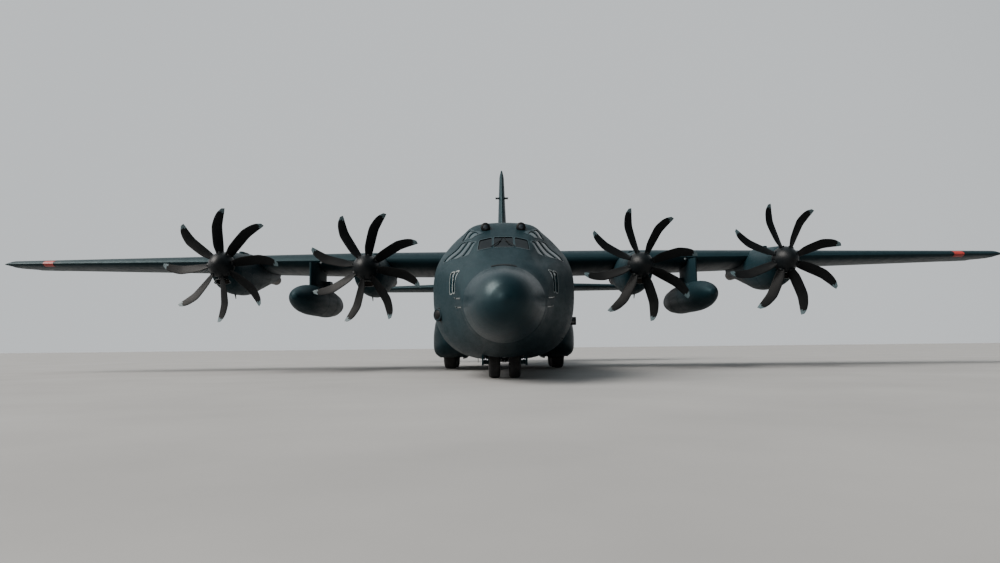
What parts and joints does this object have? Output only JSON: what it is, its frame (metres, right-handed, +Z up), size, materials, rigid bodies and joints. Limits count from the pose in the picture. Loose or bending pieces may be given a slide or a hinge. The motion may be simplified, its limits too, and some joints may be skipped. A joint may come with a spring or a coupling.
{
  "type": "military transport plane, 1:2 scale model",
  "caption": "High-wing turboprop transport plane at half scale: hollow hold and cockpit, opening ramp and doors, turning propellers and wheels, nose steering and control surfaces.",
  "frame": {"origin": "on the ground under the middle of the aircraft's box", "axes": "+X to the aircraft's left wing tip, +Y from nose to tail, +Z up"},
  "size_m": [20.205, 14.895, 5.83],
  "materials": {
    "grey_paint": "matte",
    "glass": "gloss",
    "cabin": "matte",
    "engine_metal": "satin",
    "propeller_black": "matte",
    "tyre": "matte",
    "gear_steel": "satin"
  },
  "bodies": {
    "airframe": {"radome": "grey_paint", "fuselage_forward": "grey_paint", "fuselage_centre": "grey_paint", "fuselage_aft": "grey_paint", "paratroop_door_left": "grey_paint", "paratroop_door_right": "grey_paint", "centre_wing": "grey_paint", "outer_wing_left": "grey_paint", "outer_wing_right": "grey_paint", "flap_left": "grey_paint", "flap_right": "grey_paint", "wing_fairing": "grey_paint", "fin": "grey_paint", "stabiliser_left": "grey_paint", "stabiliser_right": "grey_paint", "fuel_tank_left": "grey_paint", "fuel_tank_right": "grey_paint", "tank_pylon_left": "grey_paint", "tank_pylon_right": "grey_paint", "gear_fairing_left": "grey_paint", "gear_fairing_right": "grey_paint", "main_gear_door_left": "grey_paint", "main_gear_door_right": "grey_paint", "nose_gear_door_left": "grey_paint", "nose_gear_door_right": "grey_paint", "nacelle_1": "grey_paint", "nacelle_2": "grey_paint", "nacelle_3": "grey_paint", "nacelle_4": "grey_paint", "cockpit_glazing": "glass", "cargo_floor": "cabin", "flight_deck": "cabin", "engine_1": "engine_metal", "engine_2": "engine_metal", "engine_3": "engine_metal", "engine_4": "engine_metal", "main_gear_strut_left": "gear_steel", "main_gear_strut_right": "gear_steel", "nose_gear_leg": "gear_steel"},
    "propeller_1": {"propeller_1": "propeller_black"},
    "propeller_2": {"propeller_2": "propeller_black"},
    "propeller_3": {"propeller_3": "propeller_black"},
    "propeller_4": {"propeller_4": "propeller_black"},
    "main_wheel_1": {"main_wheel_1": "tyre"},
    "main_wheel_2": {"main_wheel_2": "tyre"},
    "main_wheel_3": {"main_wheel_3": "tyre"},
    "main_wheel_4": {"main_wheel_4": "tyre"},
    "nose_fork": {"nose_gear_fork": "gear_steel"},
    "nose_wheels": {"nose_wheel_left": "tyre", "nose_wheel_right": "tyre"},
    "aileron_left": {"aileron_left": "grey_paint"},
    "aileron_right": {"aileron_right": "grey_paint"},
    "elevators": {"elevator_left": "grey_paint", "elevator_right": "grey_paint"},
    "rudder": {"rudder": "grey_paint"},
    "crew_door": {"crew_door": "grey_paint"},
    "cargo_ramp": {"cargo_ramp": "grey_paint"},
    "aft_cargo_door": {"aft_cargo_door": "grey_paint"}
  },
  "joints": [
    {"name": "propeller_1_spin", "type": "hinge", "parent": "airframe", "child": "propeller_1", "pos_m": [5.08, -2.7475, 1.955], "axis": [0, 1, 0], "continuous": true},
    {"name": "propeller_2_spin", "type": "hinge", "parent": "airframe", "child": "propeller_2", "pos_m": [2.475, -2.7475, 1.885], "axis": [0, 1, 0], "continuous": true},
    {"name": "propeller_3_spin", "type": "hinge", "parent": "airframe", "child": "propeller_3", "pos_m": [-2.475, -2.7475, 1.885], "axis": [0, 1, 0], "continuous": true},
    {"name": "propeller_4_spin", "type": "hinge", "parent": "airframe", "child": "propeller_4", "pos_m": [-5.08, -2.7475, 1.955], "axis": [0, 1, 0], "continuous": true},
    {"name": "nose_steering", "type": "hinge", "parent": "airframe", "child": "nose_fork", "pos_m": [0, -5.2975, 0.365], "axis": [0, 0, 1], "range_deg": [-60, 60]},
    {"name": "nose_wheels_roll", "type": "hinge", "parent": "nose_fork", "child": "nose_wheels", "pos_m": [0, -5.2975, 0.2475], "axis": [1, 0, 0], "continuous": true},
    {"name": "main_wheel_1_roll", "type": "hinge", "parent": "airframe", "child": "main_wheel_1", "pos_m": [1.0875, -0.7925, 0.355], "axis": [1, 0, 0], "continuous": true},
    {"name": "main_wheel_2_roll", "type": "hinge", "parent": "airframe", "child": "main_wheel_2", "pos_m": [1.0875, -0.0325, 0.355], "axis": [1, 0, 0], "continuous": true},
    {"name": "main_wheel_3_roll", "type": "hinge", "parent": "airframe", "child": "main_wheel_3", "pos_m": [-1.0875, -0.7925, 0.355], "axis": [1, 0, 0], "continuous": true},
    {"name": "main_wheel_4_roll", "type": "hinge", "parent": "airframe", "child": "main_wheel_4", "pos_m": [-1.0875, -0.0325, 0.355], "axis": [1, 0, 0], "continuous": true},
    {"name": "aileron_left_hinge", "type": "hinge", "parent": "airframe", "child": "aileron_left", "pos_m": [6.5, -0.01764, 2.18757], "axis": [0.9965, -0.0833, 0.0105], "range_deg": [-15, 25]},
    {"name": "aileron_right_hinge", "type": "hinge", "parent": "airframe", "child": "aileron_right", "pos_m": [-6.5, -0.01764, 2.18757], "axis": [0.9965, 0.0833, -0.0105], "range_deg": [-15, 25]},
    {"name": "elevator_hinge", "type": "hinge", "parent": "airframe", "child": "elevators", "pos_m": [0, 6.1525, 2.185], "axis": [1, 0, 0], "range_deg": [-15, 40]},
    {"name": "rudder_hinge", "type": "hinge", "parent": "airframe", "child": "rudder", "pos_m": [0, 6.3325, 2.495], "axis": [0, 0.0717, 0.9974], "range_deg": [-35, 35]},
    {"name": "crew_door_hinge", "type": "hinge", "parent": "airframe", "child": "crew_door", "pos_m": [0.80416, -5.3325, 0.5475], "axis": [0.1658, 0.9862, 0], "range_deg": [0, 95]},
    {"name": "cargo_ramp_hinge", "type": "hinge", "parent": "airframe", "child": "cargo_ramp", "pos_m": [0, 1.9425, 0.2725], "axis": [-1, 0, 0], "range_deg": [0, 28]},
    {"name": "aft_cargo_door_hinge", "type": "hinge", "parent": "airframe", "child": "aft_cargo_door", "pos_m": [0, 5.7175, 1.82], "axis": [-1, 0, 0], "range_deg": [0, 22]}
  ]
}
